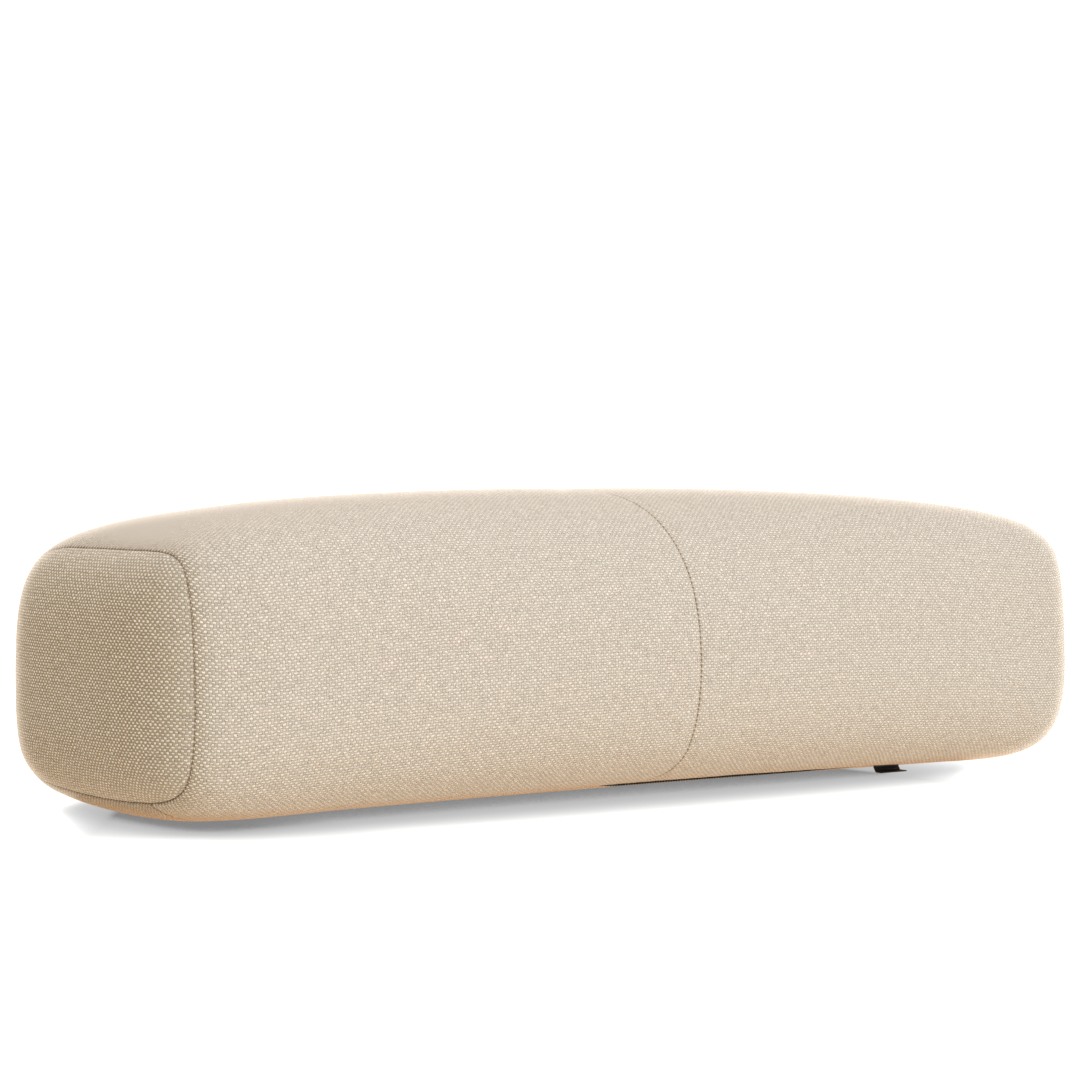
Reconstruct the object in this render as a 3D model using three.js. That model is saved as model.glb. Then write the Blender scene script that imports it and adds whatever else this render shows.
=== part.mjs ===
// A long daybed cushion: one firmly filled block with domed ends, three sewn girth seams,
// a closing seam with a zip under the front edge, and a bare tab label.
// Millimetres. +X runs along the cushion, -Y is the front, +Z is up.
// The origin is the middle of the footprint, on the surface that the cushion lies on.
import * as THREE from "three";

// Driving dimensions
const seamToSeam = 900;          // distance between the two end seams
const domeDepth = 24;            // how far each end panel stands out past its seam
const domePower = 4;             // flat middle, round rim
const channelDepth = 1.8;        // how far the thread draws a seam in
const channelHalfWidth = 4;      // how far from the thread the cloth starts to dip
const zip = { from: -40, to: 262, width: 6, thickness: 1.8 };
const label = { from: 272, to: 302, drop: 13, thickness: 1.2, tipHeight: 0.5 };
const clearance = 0.35;          // gap between sewn-on pieces and the cloth

// The cross-section at the end seams and at the middle of the length. Squareness is the power of the
// rounded corner: 2 is a circle, 9 is nearly square. A bulge is the share by which that side swells.
const sections = {
  end: {
    halfDepth: 144, top: 210.7, under: 16.5, waist: 0.41,
    frontTop: 9, backTop: 3.8, frontLower: 6.9, backLower: 6.1, sideBulge: 0.095, underBulge: 0.095,
  },
  middle: {
    halfDepth: 178, top: 251, under: -0.9, waist: 0.43,
    frontTop: 3, backTop: 3, frontLower: 9.2, backLower: 9.2, sideBulge: 0.137, underBulge: 0.231,
  },
};

// How each size falls off from the middle to the end seam: part of it in one long bow,
// the rest in a tight roll just before the seam
const falls = {
  halfDepth: { bowShare: 0.68, bowPower: 2, rollPower: 17 },
  top: { bowShare: 0.74, bowPower: 2.7, rollPower: 20 },
  under: { bowShare: 0, bowPower: 2, rollPower: 25 },
};

// The closing seam's place under the front edge, as a share of the half depth
const closingSeamShare = 0.58;

// Mesh density
const columnsAround = 52;
const stationsPerHalf = 13;
const panelRings = [0.9, 0.8, 0.68, 0.52, 0.34, 0.16];

const colours = { cloth: 0xd9c6a5, zip: 0x1b1a19, label: 0x121212 };

const halfLength = seamToSeam / 2;

function fall(name, share) {
  const { bowShare, bowPower, rollPower } = falls[name];
  const t = Math.abs(share);
  const lost = bowShare * t ** bowPower + (1 - bowShare) * t ** rollPower;
  return THREE.MathUtils.lerp(sections.end[name], sections.middle[name], 1 - lost);
}

// A size of the section that changes evenly with the square of the distance from the middle
function blend(name, share) {
  return THREE.MathUtils.lerp(sections.middle[name], sections.end[name], share * share);
}

// A point of the section at a share of the half length and an angle, 0 at the back, 90 on top
function sectionPoint(share, degrees) {
  const halfDepth = fall("halfDepth", share);
  const top = fall("top", share);
  const under = fall("under", share);
  const waistHeight = under + blend("waist", share) * (top - under);
  const angle = THREE.MathUtils.degToRad(degrees);
  const c = Math.cos(angle);
  const s = Math.sin(angle);
  const side = c < 0 ? "front" : "back";
  const power = blend(s > 0 ? `${side}Top` : `${side}Lower`, share);
  const reach = (Math.abs(c) ** power + Math.abs(s) ** power) ** (-1 / power);
  const across = reach * c;
  const up = reach * s;
  const y = halfDepth * across * (1 - blend("sideBulge", share) * up * up);
  if (up > 0) {
    return { y, z: waistHeight + (top - waistHeight) * up };
  }
  const swell = 1 - blend("underBulge", share) * across * across;
  return { y, z: waistHeight + (waistHeight - under) * up * swell };
}

function waistOf(share) {
  const { z } = sectionPoint(share, 0);
  return z;
}

// The cloth's point on the body: the section, drawn in by a dip, pressed flat where it rests
function bodyPoint(share, degrees, dip = 0) {
  const { y, z } = sectionPoint(share, degrees);
  const centre = waistOf(share);
  const length = Math.hypot(y, z - centre);
  const kept = (length - dip) / length;
  const height = Math.max(z, 0);
  return new THREE.Vector3(share * halfLength, y * kept, centre + (height - centre) * kept);
}

const closingSeamAngle = 180 + THREE.MathUtils.radToDeg(Math.atan(1 / closingSeamShare));

// Column angles at even steps of the end section's outline, with three columns for the closing seam
function columnAngles() {
  const fine = 1440;
  const lengths = [0];
  for (let i = 1; i <= fine; i += 1) {
    const a = sectionPoint(1, (i - 1) * 360 / fine);
    const b = sectionPoint(1, i * 360 / fine);
    lengths.push(lengths[i - 1] + Math.hypot(b.y - a.y, b.z - a.z));
  }
  const step = lengths[fine] / columnsAround;
  const angles = [];
  for (let i = 0; i <= fine && angles.length < columnsAround; i += 1) {
    if (lengths[i] >= angles.length * step) {
      angles.push(i * 360 / fine);
    }
  }
  const channelAngle = THREE.MathUtils.radToDeg(channelHalfWidth / sections.middle.halfDepth);
  const seam = [-channelAngle, 0, channelAngle].map((offset) => closingSeamAngle + offset);
  const apart = angles.filter((angle) => Math.abs(angle - closingSeamAngle) > 2 * channelAngle);
  return [...apart, ...seam].sort((a, b) => a - b);
}

// Stations along the body: closer towards the end seams, and one each side of every seam's thread
function stations() {
  const besideSeam = channelHalfWidth / halfLength;
  const list = [0, besideSeam, 1 - besideSeam, 1];
  for (let i = 1; i < stationsPerHalf; i += 1) {
    list.push(Math.sin(i / stationsPerHalf * Math.PI / 2));
  }
  const apart = list.filter((share) => share <= 1 - besideSeam || share === 1);
  const mirrored = apart.filter((share) => share > 0).map((share) => -share);
  return [...mirrored, ...apart].sort((a, b) => a - b);
}

function bodyRing(share, angles) {
  const onGirthSeam = share === 0 || Math.abs(share) === 1;
  return angles.map((angle) => {
    const onSeam = onGirthSeam || angle === closingSeamAngle;
    return bodyPoint(share, angle, onSeam ? channelDepth : 0);
  });
}

// A ring of an end panel: the end section shrunk towards the panel's centre, and domed outwards
function panelRing(end, size, angles) {
  const centre = (sections.end.top + sections.end.under) / 2;
  const x = end * (halfLength + domeDepth * (1 - size ** domePower));
  return angles.map((angle) => {
    const { y, z } = sectionPoint(end, angle);
    return new THREE.Vector3(x, y * size, centre + (z - centre) * size);
  });
}

// Joins rings of equal length into one closed skin, with a point at each end
function closedSkin(rings, firstPoint, lastPoint) {
  const around = rings[0].length;
  const points = [firstPoint, ...rings.flat(), lastPoint];
  const faces = [];
  const at = (ring, column) => 1 + ring * around + column % around;
  for (let column = 0; column < around; column += 1) {
    faces.push(0, at(0, column + 1), at(0, column));
    faces.push(points.length - 1, at(rings.length - 1, column), at(rings.length - 1, column + 1));
    for (let ring = 0; ring + 1 < rings.length; ring += 1) {
      faces.push(at(ring, column), at(ring, column + 1), at(ring + 1, column));
      faces.push(at(ring, column + 1), at(ring + 1, column + 1), at(ring + 1, column));
    }
  }
  const geometry = new THREE.BufferGeometry();
  geometry.setAttribute("position", new THREE.Float32BufferAttribute(points.flatMap((p) => p.toArray()), 3));
  geometry.setIndex(faces);
  return geometry;
}

function cushionGeometry() {
  const angles = columnAngles();
  const besideSeam = 1 - channelHalfWidth / sections.end.halfDepth;
  const sizes = [besideSeam, ...panelRings];
  const left = [...sizes].reverse().map((size) => panelRing(-1, size, angles));
  const right = sizes.map((size) => panelRing(1, size, angles));
  const body = stations().map((share) => bodyRing(share, angles));
  const centre = (sections.end.top + sections.end.under) / 2;
  const reach = halfLength + domeDepth;
  return closedSkin(
    [...left, ...body, ...right],
    new THREE.Vector3(-reach, 0, centre),
    new THREE.Vector3(reach, 0, centre),
  );
}

// The closing seam at a place along the cushion: its point, the way down out of the cloth,
// and the way across the seam towards the front edge
function closingSeamFrame(x) {
  const share = x / halfLength;
  const small = 0.5;
  const point = bodyPoint(share, closingSeamAngle);
  const before = bodyPoint(share, closingSeamAngle - small);
  const after = bodyPoint(share, closingSeamAngle + small);
  const across = before.sub(after).normalize();
  const out = new THREE.Vector3(0, across.z, -across.y);
  if (out.z > 0) {
    out.negate();
  }
  return { point, out, across };
}

// A bar with a four-cornered section at each of its stations
function barGeometry(corners) {
  const capCentre = (ring) => ring.reduce((sum, p) => sum.add(p), new THREE.Vector3()).divideScalar(4);
  return closedSkin(corners, capCentre(corners[0]), capCentre(corners[corners.length - 1]));
}

function zipGeometry() {
  const steps = 12;
  const rings = [];
  for (let i = 0; i <= steps; i += 1) {
    const { point, out, across } = closingSeamFrame(THREE.MathUtils.lerp(zip.from, zip.to, i / steps));
    const corner = (side, depth) => point.clone()
      .addScaledVector(across, side * zip.width / 2)
      .addScaledVector(out, depth);
    const far = clearance + zip.thickness;
    rings.push([corner(-1, clearance), corner(1, clearance), corner(1, far), corner(-1, far)]);
  }
  return barGeometry(rings);
}

function labelGeometry() {
  const rings = [label.from, label.to].map((x) => {
    const root = closingSeamFrame(x).point;
    const fallTo = label.tipHeight + label.thickness / 2;
    const down = root.z - fallTo;
    const forward = Math.sqrt(label.drop ** 2 - down ** 2);
    const along = new THREE.Vector3(0, -forward, -down).normalize();
    const through = new THREE.Vector3(0, along.z, -along.y).multiplyScalar(label.thickness / 2);
    const tip = root.clone().addScaledVector(along, label.drop);
    return [
      root.clone().add(through), tip.clone().add(through),
      tip.clone().sub(through), root.clone().sub(through),
    ];
  });
  return barGeometry(rings);
}

function piece(name, geometry, material) {
  const mesh = new THREE.Mesh(geometry, new THREE.MeshStandardMaterial(material));
  mesh.name = name;
  return mesh;
}

const cushionPart = new THREE.Group();
cushionPart.add(
  piece("cushion", cushionGeometry(), { color: colours.cloth, roughness: 0.95, metalness: 0 }),
  piece("zip", zipGeometry(), { color: colours.zip, roughness: 0.45, metalness: 0 }),
  piece("label", labelGeometry(), { color: colours.label, roughness: 0.6, metalness: 0 }),
);

export default cushionPart;
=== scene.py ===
# %% [markdown]
# # A long daybed cushion in a chunky woven wool cover
# The cushion is one firmly filled block. Its cover is cut from four pieces of the same cloth: two wraps
# that go round the body and meet in a seam round the middle, and a domed panel at each end. A closing
# seam runs along the underside near the front edge, and it holds a black zip and a small satin label.
# The script builds the cover on the same sizes as the fixed CAD frame, lets a cloth simulation settle it,
# and then makes the cloth's weave, the zip and the label. Everything is in metres.

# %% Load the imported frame
import math

import bpy
import numpy as np
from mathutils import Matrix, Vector


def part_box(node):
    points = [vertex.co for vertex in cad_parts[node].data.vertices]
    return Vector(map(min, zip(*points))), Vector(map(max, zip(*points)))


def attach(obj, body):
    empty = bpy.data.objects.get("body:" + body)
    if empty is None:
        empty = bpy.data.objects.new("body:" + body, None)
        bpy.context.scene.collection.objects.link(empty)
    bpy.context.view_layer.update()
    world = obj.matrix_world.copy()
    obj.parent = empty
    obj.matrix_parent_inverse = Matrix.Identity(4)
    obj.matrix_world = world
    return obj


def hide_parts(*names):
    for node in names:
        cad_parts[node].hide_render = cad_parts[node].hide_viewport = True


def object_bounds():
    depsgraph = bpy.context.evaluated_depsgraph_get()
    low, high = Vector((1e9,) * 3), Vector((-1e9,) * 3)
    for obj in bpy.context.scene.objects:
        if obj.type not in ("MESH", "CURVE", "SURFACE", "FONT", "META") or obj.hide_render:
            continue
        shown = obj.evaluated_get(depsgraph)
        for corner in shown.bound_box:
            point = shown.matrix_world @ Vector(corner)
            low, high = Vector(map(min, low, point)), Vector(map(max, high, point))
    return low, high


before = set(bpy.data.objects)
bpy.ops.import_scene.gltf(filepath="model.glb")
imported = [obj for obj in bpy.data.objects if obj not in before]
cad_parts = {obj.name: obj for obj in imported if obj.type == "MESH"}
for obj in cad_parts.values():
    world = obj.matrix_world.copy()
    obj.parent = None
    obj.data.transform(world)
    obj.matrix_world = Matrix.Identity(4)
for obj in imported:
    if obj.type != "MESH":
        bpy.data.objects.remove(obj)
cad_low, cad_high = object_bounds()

MM = 0.001
print("the frame's box in mm:", [round(c / MM, 1) for c in (*cad_low, *cad_high)])

# %% [markdown]
# ## The camera
# A product photograph like this one is taken from a low tripod with a long lens, so that the block's
# edges stay nearly parallel. The lens could be guessed, but the spacing of the threads fixes it better:
# the weave is the same all over, so how fast it shrinks with distance gives both distance and lens.

# %% Set up the camera
CAMERA_DISTANCE = 2.5644  # metres over the floor, from the cushion's middle
CAMERA_AZIMUTH = 36.894  # degrees from the front, to the left
CAMERA_HEIGHT = 0.2766
CAMERA_OFFSET = 0.0014  # metres along the cushion
LOOK_YAW = 36.294  # degrees to the right of straight back
LOOK_DOWN = 1.511
LENS = 100.0  # mm, on a sensor 36 mm wide
SENSOR = 36.0


def make_camera():
    azimuth, yaw, down = (math.radians(a) for a in (CAMERA_AZIMUTH, LOOK_YAW, LOOK_DOWN))
    data = bpy.data.cameras.new("camera")
    data.lens, data.sensor_width = LENS, SENSOR
    camera = bpy.data.objects.new("camera", data)
    camera.location = (
        CAMERA_OFFSET - math.sin(azimuth) * CAMERA_DISTANCE,
        -math.cos(azimuth) * CAMERA_DISTANCE,
        CAMERA_HEIGHT,
    )
    forward = Vector((
        math.sin(yaw) * math.cos(down), math.cos(yaw) * math.cos(down), -math.sin(down),
    ))
    camera.rotation_euler = forward.to_track_quat("-Z", "Y").to_euler()
    bpy.context.collection.objects.link(camera)
    bpy.context.scene.camera = camera
    return camera


camera = make_camera()
print("camera at", [round(c, 3) for c in camera.location])

# %% [markdown]
# ## The block's section
# The filling gives the block its shape: nearly square lower corners, softer upper ones, a body that
# swells towards the middle and an underside that bellies down to a flat strip. Such a form could be
# sculpted, or lofted through a few drawn outlines. Here one formula gives the section at any place along
# the length, so that cloth, seams and zip all lie on the same surface. The power of a rounded corner says
# how square it is: 2 is a circle, 9 is nearly square.

# %% Describe the section
DOME_DEPTH = 24 * MM
DOME_POWER = 4
HALF_LENGTH = cad_high.x - DOME_DEPTH
END = dict(
    half_depth=144 * MM, top=211 * MM, under=16.5 * MM, waist=0.41, front_top=9, back_top=4.3,
    front_lower=6.9, back_lower=7.2, side_bulge=0.095, under_bulge=0.095,
)
MIDDLE = dict(
    half_depth=178 * MM, top=252.3 * MM, under=-0.9 * MM, waist=0.43, front_top=3, back_top=3,
    front_lower=9.2, back_lower=9.2, side_bulge=0.137, under_bulge=0.231,
)
FALLS = dict(half_depth=(0.68, 2, 17), top=(0.74, 2.7, 20), under=(0, 2, 25))
CLOSING_SEAM_ANGLE = math.pi + math.atan(1 / 0.58)


def fall(name, share):
    """A size that falls from the middle to the end seam: part in a long bow, the rest in a tight roll."""
    bow_share, bow_power, roll_power = FALLS[name]
    t = np.abs(share)
    lost = bow_share * t ** bow_power + (1 - bow_share) * t ** roll_power
    return END[name] + (MIDDLE[name] - END[name]) * (1 - lost)


def blend(name, share):
    """A size that changes with the square of the distance from the middle."""
    return MIDDLE[name] + (END[name] - MIDDLE[name]) * share * share


def section(share, angle):
    """Points of the cloth, at shares of the half length and at angles: 0 is the back, 90 degrees the top."""
    share, angle = np.broadcast_arrays(share, angle)
    half_depth, top, under = (fall(name, share) for name in FALLS)
    waist = under + blend("waist", share) * (top - under)
    c, s = np.cos(angle), np.sin(angle)
    power = np.where(
        s > 0,
        np.where(c < 0, blend("front_top", share), blend("back_top", share)),
        np.where(c < 0, blend("front_lower", share), blend("back_lower", share)),
    )
    reach = (np.abs(c) ** power + np.abs(s) ** power) ** (-1 / power)
    across, up = reach * c, reach * s
    y = half_depth * across * (1 - blend("side_bulge", share) * up * up)
    above = waist + (top - waist) * up
    swell = 1 - blend("under_bulge", share) * across * across
    below = waist + (waist - under) * up * swell
    z = np.maximum(np.where(up > 0, above, below), 0)
    return np.stack([share * HALF_LENGTH, y, z], -1)


def steps_between(points):
    """Lengths of the steps from each point to the next, along the first axis."""
    return np.linalg.norm(np.diff(points, axis=0), axis=-1)


print("section in the middle, mm:", np.round(section(0, np.radians([0, 90, 180, 270])) / MM, 1).tolist())

# %% [markdown]
# ## The grid of the cover
# The cover could be remeshed and sculpted, but then the threads would have nothing to follow. A grid of
# rings and columns keeps its map: rings run round the body, columns along it. Both stand close together
# beside the seams, where the cloth turns down into the thread's groove, and are spread out elsewhere.

# %% Lay out the columns and the rings
SEAM_STEPS = np.array([0, 0.12, 0.35, 0.75, 1.3, 2.0, 3.0, 4.5, 6.5]) * MM
COLUMN_STEP = 2.9 * MM
RING_STEP = 3.6 * MM
PANEL_STEP = 3.2 * MM
ZIP_FROM, ZIP_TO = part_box("zip")[0].x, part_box("zip")[1].x
ZIP_GAP = 2.4 * MM  # from the zip's middle to the cloth lip beside it
ZIP_STEPS = np.array([0, 0.13, 0.33, 0.6, 0.85])  # columns inside that gap, as shares of it
FULL_TURN = 2 * math.pi
FINE_STEPS = 7200  # for measuring the girth
GIRTH_AT = 0.6  # share of the half length where it is measured


def column_angles():
    """Angles from the closing seam once round, in even steps of the girth and close beside the seam."""
    fine = np.linspace(CLOSING_SEAM_ANGLE, CLOSING_SEAM_ANGLE + FULL_TURN, FINE_STEPS + 1)
    along = np.concatenate([[0], np.cumsum(steps_between(section(GIRTH_AT, fine)))])
    beside = np.concatenate([ZIP_GAP * ZIP_STEPS, ZIP_GAP + SEAM_STEPS])
    first, last = beside[-1], along[-1] - beside[-1]
    count = round((last - first) / COLUMN_STEP)
    even = np.linspace(first, last, count + 1)[1:-1]
    places = np.concatenate([beside, even, along[-1] - beside[::-1]])
    return np.interp(places, along, fine)


def body_shares():
    """Shares of the half length from the girth seam to the right end seam."""
    last = HALF_LENGTH - SEAM_STEPS[-1]
    count = round((last - SEAM_STEPS[-1]) / RING_STEP)
    even = np.linspace(SEAM_STEPS[-1], last, count + 1)[1:-1]
    return np.concatenate([SEAM_STEPS, even, HALF_LENGTH - SEAM_STEPS[::-1]]) / HALF_LENGTH


def panel_sizes():
    """Sizes of a panel's rings, as shares of the end section, from the seam inwards."""
    half = END["half_depth"]
    even = np.arange(SEAM_STEPS[-1] + PANEL_STEP, half - PANEL_STEP / 2, PANEL_STEP)
    return 1 - np.concatenate([SEAM_STEPS, even]) / half


angles = column_angles()
half_shares = body_shares()
sizes = panel_sizes()
print(len(angles), "columns,", len(half_shares), "rings a wrap,", len(sizes), "rings a panel")

# %% [markdown]
# ## The seams
# In a plain seam two cloth edges are sewn together inside, and the filling pushes the cloth up on both
# sides, so that it turns down into the seam over a small round shoulder. A groove could be painted or
# bumped, but it would vanish on the outline. Here each point moves in along its own normal: by a quarter
# circle at the shoulder, and by a softer, wider pull that the thread puts on the filling.

# %% Draw the cloth into a seam
SHOULDER = 2.4 * MM  # radius of the cloth's turn into a seam
GIRTH_SHOULDER = 1.3 * MM  # the girth seam is pulled tighter and lies flatter
PULL_DEPTH = 0.9 * MM
PULL_WIDTH = 9 * MM
LIP_GAP = 0.3 * MM  # from the thread to the cloth lip beside it


def dip_at(distance, shoulder):
    """How deep the cloth lies at a distance from the seam's thread."""
    near = np.clip(1 - np.maximum(distance - LIP_GAP, 0) / shoulder, 0, 1)
    turned_in = shoulder * (1 - np.sqrt(1 - near ** 2))
    return turned_in + PULL_DEPTH * np.exp(-(distance / PULL_WIDTH) ** 2)


def normals_of(points):
    """Outward normals of a grid of rings and columns, whose last column repeats the first."""
    along = np.gradient(points, axis=0)
    around = np.empty_like(points)
    around[:, 1:-1] = points[:, 2:] - points[:, :-2]
    around[:, 0] = around[:, -1] = points[:, 1] - points[:, -2]
    normal = np.cross(around, along)
    return normal / np.linalg.norm(normal, axis=-1, keepdims=True)


print("at its thread a seam is", round(float(dip_at(0, SHOULDER)) / MM, 1), "mm deep")

# %% Lay out the points of the cover
RIGHT_REACH = 5 * MM  # in the photo the right half is this much longer than the left one


def panel_points(end):
    """A domed end panel: the end section shrunk towards the panel's centre, from the seam inwards."""
    centre = (END["top"] + END["under"]) / 2
    rim = section(float(end), angles)[None]
    size = sizes[:, None]
    x = end * (HALF_LENGTH + DOME_DEPTH * (1 - size ** DOME_POWER)) + 0 * rim[..., 0]
    return np.stack([x, rim[..., 1] * size, centre + (rim[..., 2] - centre) * size], -1)


half_body = section(half_shares[:, None], angles[None])
body = np.concatenate([(half_body * [-1, 1, 1])[:0:-1], half_body])
left_panel, right_panel = panel_points(-1), panel_points(1)
cover = np.concatenate([left_panel[:0:-1], body, right_panel[1:]])
cover[..., 0] += RIGHT_REACH * np.clip(cover[..., 0] / HALF_LENGTH, 0, 1) ** 2
LEFT_SEAM = len(sizes) - 1
MIDDLE_SEAM = LEFT_SEAM + len(half_shares) - 1
RIGHT_SEAM = MIDDLE_SEAM + len(half_shares) - 1
print("the cover has", cover.shape[0], "rings of", cover.shape[1], "points")

# %% Measure how far each point is from the seams
ZIP_GAP_RAMP = 10 * MM  # how long the gap for the zip takes to open

along_body = np.concatenate([
    np.zeros((1, len(angles))), np.cumsum(steps_between(cover), axis=0),
])
around_body = np.concatenate([
    np.zeros((len(cover), 1)), np.cumsum(steps_between(cover.swapaxes(0, 1)).T, axis=1),
], axis=1)


def seam_distances():
    """Each point's distance along the cloth to the girth seam's thread, and to that of any other seam."""
    to_ends = [np.abs(along_body - along_body[ring]) for ring in (LEFT_SEAM, RIGHT_SEAM)]
    to_closing = np.minimum(around_body, around_body[:, -1:] - around_body)
    x = cover[..., 0]
    opened = np.clip(np.minimum(x - ZIP_FROM, ZIP_TO - x) / ZIP_GAP_RAMP + 1, 0, 1)
    to_closing = np.maximum(to_closing - ZIP_GAP * opened, 0)
    outside = np.ones(len(cover), bool)
    outside[LEFT_SEAM:RIGHT_SEAM + 1] = False
    to_closing[outside] = np.inf
    return np.abs(along_body - along_body[MIDDLE_SEAM]), np.minimum.reduce([*to_ends, to_closing])


normals = normals_of(cover)
to_girth, to_others = seam_distances()
dip = np.maximum(dip_at(to_girth, GIRTH_SHOULDER), dip_at(to_others, SHOULDER))
print("the deepest point of a seam lies", round(float(dip.max()) / MM, 2), "mm under the cloth")

# %% [markdown]
# ## The cloth on its filling
# Foam wrapped in fibre presses the cover out, and the seams hold it back, so the cloth swells and
# ripples a little between them. Ripples could be sculpted or drawn with noise, but a cloth simulation
# puts them where the seams pull. A coarse copy of the cover, cut a trifle too large, is blown up from
# inside with its seams pinned. The large form already is the photo's, so only the small relief is kept.

# %% Blow up a coarse copy of the cover
SIM_STEP = 9 * MM
SETTLING_FRAMES = 20
CUT_TOO_LARGE = 0.003  # as a share of each thread's length
FILLING_PRESSURE = 4


def tube_faces(rings, around):
    """Faces between rings of points, each face joining two neighbours to the same two of the next ring."""
    ring, column = np.meshgrid(np.arange(rings - 1), np.arange(around), indexing="ij")
    this, after = ring * around + column, ring * around + (column + 1) % around
    return np.stack([this, after, after + around, this + around], -1).reshape(-1, 4)


def coarse_lines(places, fixed, step):
    """Indices of the lines that are about a step apart, with the fixed ones among them."""
    lines = []
    for first, last in zip(fixed[:-1], fixed[1:]):
        count = max(round((places[last] - places[first]) / step), 1)
        wanted = np.linspace(places[first], places[last], count + 1)
        lines += [int(np.argmin(np.abs(places - w))) for w in wanted]
    return np.unique(lines)


def blown_up(points, pinned):
    """The grid's points after its filling has pressed it out. The pinned points stay."""
    rings, around = points.shape[:2]
    corners = np.concatenate([points.reshape(-1, 3), [points[0].mean(0), points[-1].mean(0)]])
    faces = tube_faces(rings, around).tolist()
    for c in range(around):
        d = (c + 1) % around
        faces.append((rings * around, d, c))
        faces.append((rings * around + 1, (rings - 1) * around + c, (rings - 1) * around + d))
    mesh = bpy.data.meshes.new("settling")
    mesh.from_pydata(corners, [], faces)
    cloth = bpy.data.objects.new("settling", mesh)
    bpy.context.collection.objects.link(cloth)
    cloth.vertex_groups.new(name="seams").add(np.flatnonzero(pinned.ravel()).tolist(), 1.0, "REPLACE")
    simulation = cloth.modifiers.new("settle", "CLOTH")
    wool = simulation.settings
    wool.quality, wool.mass, wool.bending_stiffness = 5, 0.1, 0.3
    wool.tension_stiffness, wool.compression_stiffness, wool.shear_stiffness = 25, 25, 10
    wool.use_pressure, wool.uniform_pressure_force = True, FILLING_PRESSURE
    wool.effector_weights.gravity = 0
    wool.vertex_group_mass = "seams"
    wool.shrink_min = -CUT_TOO_LARGE
    simulation.point_cache.frame_end = SETTLING_FRAMES
    scene = bpy.context.scene
    for frame_number in range(1, SETTLING_FRAMES + 1):
        scene.frame_set(frame_number)
    settled = cloth.evaluated_get(bpy.context.evaluated_depsgraph_get())
    moved = np.empty(3 * len(corners))
    settled.data.vertices.foreach_get("co", moved)
    scene.frame_set(1)
    bpy.data.objects.remove(cloth)
    bpy.data.meshes.remove(mesh)
    return moved.reshape(-1, 3)[:-2].reshape(points.shape)


print("a square of the coarse copy is", SIM_STEP / MM, "mm wide")

# %% Keep the small relief
SMALLEST_RING = 0.3  # the panel's middle is left to one point
RELIEF_CAP = 1.0 * MM
SMOOTH_OVER = 4  # steps of the coarse grid that count as the large form
FADE_RINGS = 8  # rings over which the relief starts on a panel
PRESSED_BELOW = 25 * MM  # below this height the cushion's weight takes the ripples out of the cloth


def smoothed(values, steps):
    """Values of a closed grid, averaged over some steps each way."""
    weights = np.exp(-0.5 * (np.arange(-2 * steps, 2 * steps + 1) / steps) ** 2)
    weights /= weights.sum()
    reach = 2 * steps
    wide = np.pad(values, ((reach, reach), (0, 0)), mode="edge")
    values = sum(w * wide[i:i + len(values)] for i, w in enumerate(weights))
    wide = np.pad(values, ((0, 0), (reach, reach)), mode="wrap")
    return sum(w * wide[:, i:i + values.shape[1]] for i, w in enumerate(weights))


def settle(points, outward):
    """The small relief of the settled cloth along its normals, at every point of the fine grid."""
    inner = int(np.argmax(sizes < SMALLEST_RING)) - 1
    ends = [LEFT_SEAM - inner, LEFT_SEAM, MIDDLE_SEAM, RIGHT_SEAM, RIGHT_SEAM + inner]
    rings = coarse_lines(along_body.mean(1), ends, SIM_STEP)
    columns = coarse_lines(around_body[MIDDLE_SEAM], [0, len(angles) - 1], SIM_STEP)[:-1]
    coarse = points[rings][:, columns]
    pinned = np.zeros(coarse.shape[:2], bool)
    pinned[np.isin(rings, [LEFT_SEAM, MIDDLE_SEAM, RIGHT_SEAM])] = True
    pinned[(rings > LEFT_SEAM) & (rings < RIGHT_SEAM), 0] = True
    moved = blown_up(coarse, pinned)
    swell = ((moved - coarse) * outward[rings][:, columns]).sum(-1)
    relief = swell - smoothed(swell, SMOOTH_OVER)
    relief = RELIEF_CAP * np.tanh(relief / RELIEF_CAP)
    relief[pinned] = 0
    print(len(rings), "by", len(columns), "points settled; swell up to", round(swell.max() / MM, 1),
          "mm, relief", np.round(np.percentile(relief, [1, 10, 90, 99]) / MM, 2).tolist(), "mm")
    relief = np.concatenate([relief, relief[:, :1]], 1)
    columns = np.append(columns, len(angles) - 1)
    wide = np.stack([np.interp(np.arange(len(angles)), columns, row) for row in relief])
    every = np.arange(len(points))
    fine = np.stack([np.interp(every, rings, column) for column in wide.T], 1)
    to_rim = np.minimum(every - rings[0], rings[-1] - every)
    return fine * np.clip(to_rim / FADE_RINGS, 0, 1)[:, None]


relief = settle(cover, normals)
relief *= np.clip(cover[..., 2] / PRESSED_BELOW, 0, 1)
drawn_in = cover + normals * (relief - dip)[..., None]
drawn_in[..., 2] = np.maximum(drawn_in[..., 2], 0)
print("the cover is", round(float(np.ptp(drawn_in[..., 0])) / MM, 1), "mm long")
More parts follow.
